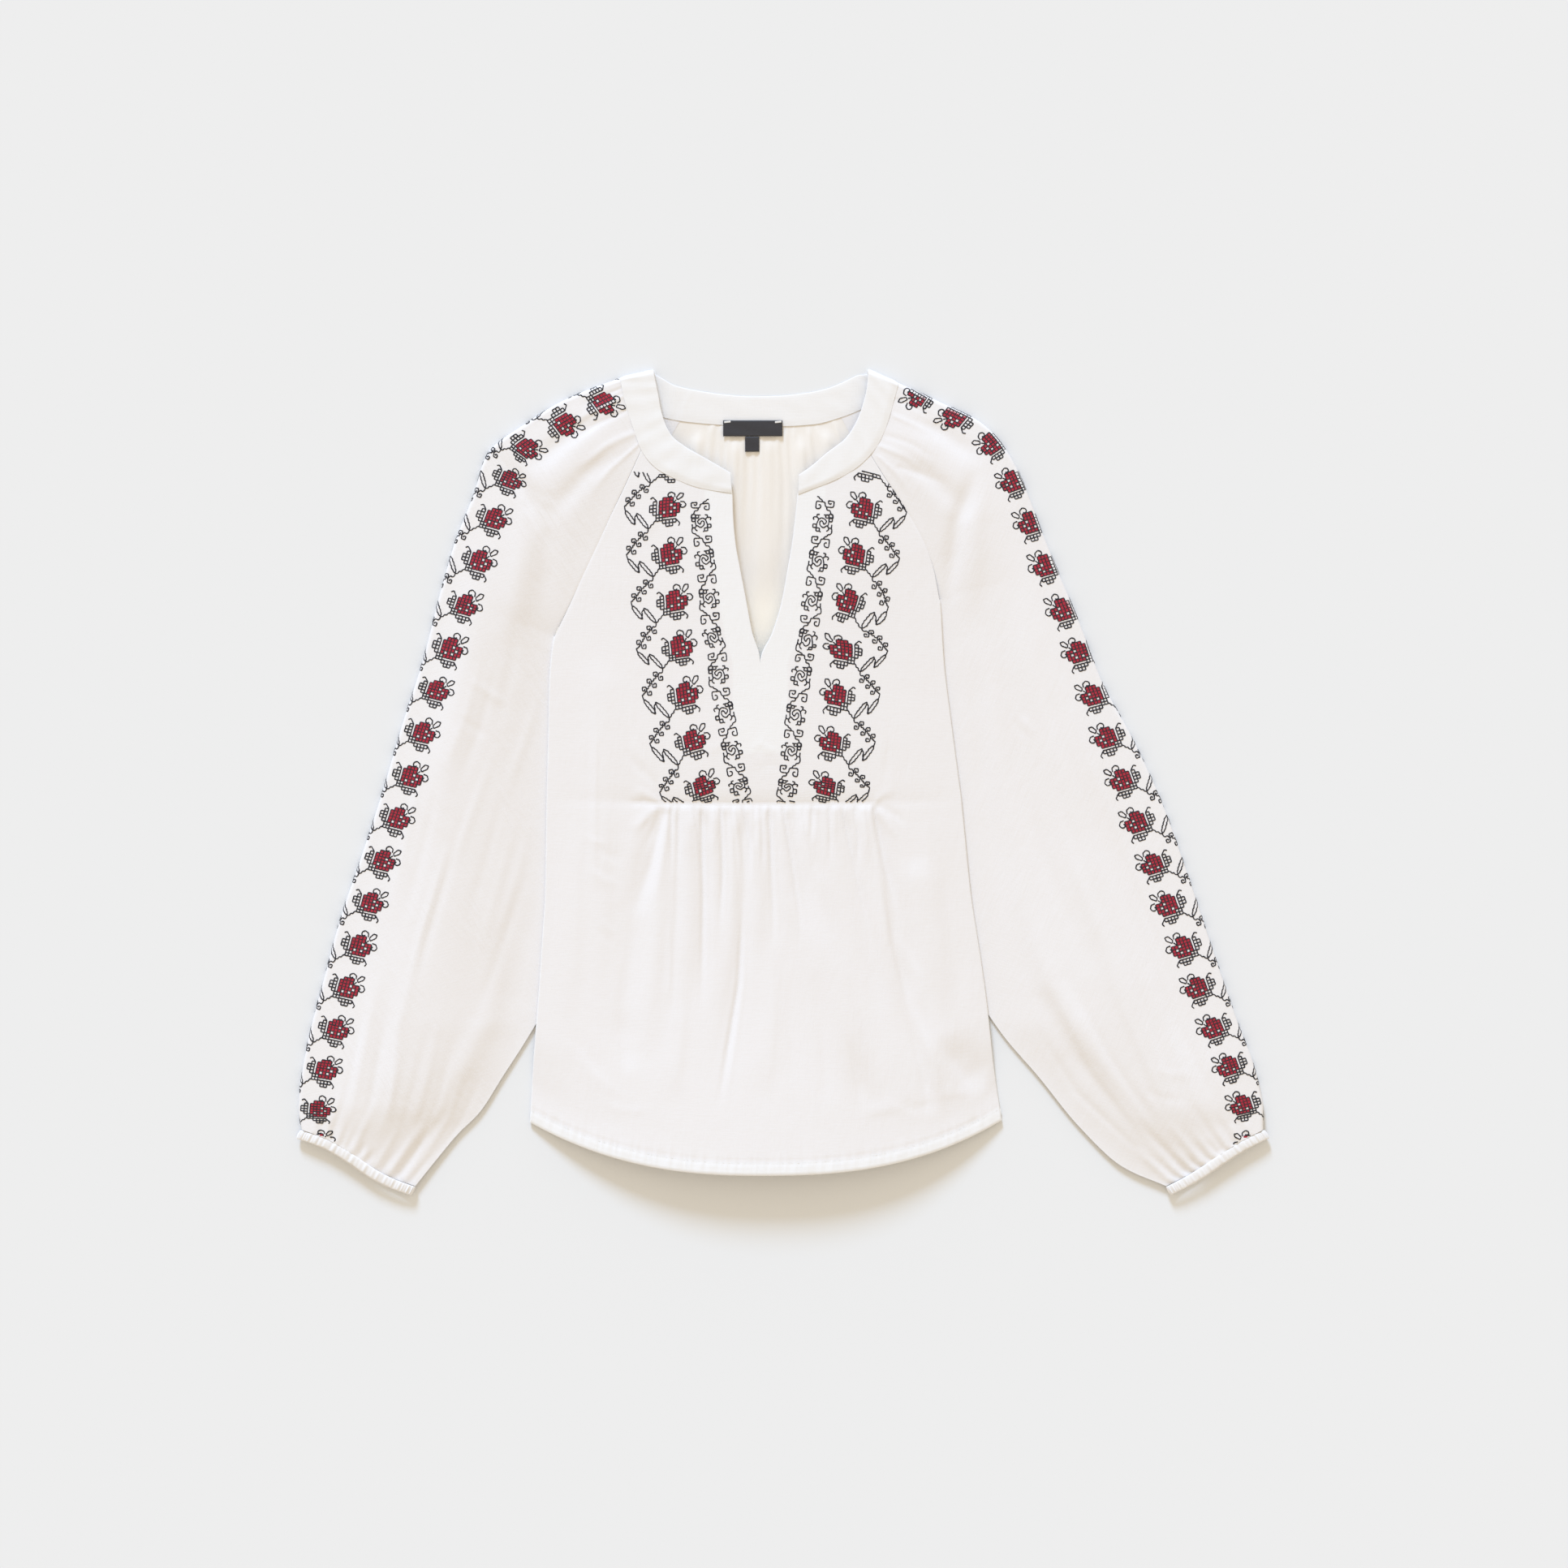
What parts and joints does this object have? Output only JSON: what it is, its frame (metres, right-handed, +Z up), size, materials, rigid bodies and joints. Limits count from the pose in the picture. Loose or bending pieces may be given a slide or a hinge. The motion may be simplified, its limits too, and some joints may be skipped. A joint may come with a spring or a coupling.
{
  "type": "folk blouse",
  "caption": "Pale cotton folk blouse laid flat on its back, with raglan sleeves, a slit neck, a gathered front and elastic wrists.",
  "frame": {"origin": "under the middle of the laid blouse, on the surface that it lies on", "axes": "+X towards the wearer's left sleeve, +Y towards the neck, +Z up from the surface"},
  "size_m": [0.826, 0.7018, 0.0226],
  "materials": {
    "panel_cotton": "matte cotton voile",
    "band_cotton": "matte doubled cotton",
    "label_satin": "woven satin"
  },
  "bodies": {
    "root": {"back": "panel_cotton", "front": "panel_cotton", "sleeve_righthand": "panel_cotton", "sleeve_lefthand": "panel_cotton", "casing_righthand": "band_cotton", "casing_lefthand": "band_cotton", "neckband": "band_cotton", "label": "label_satin", "size_tab": "label_satin"}
  },
  "joints": []
}
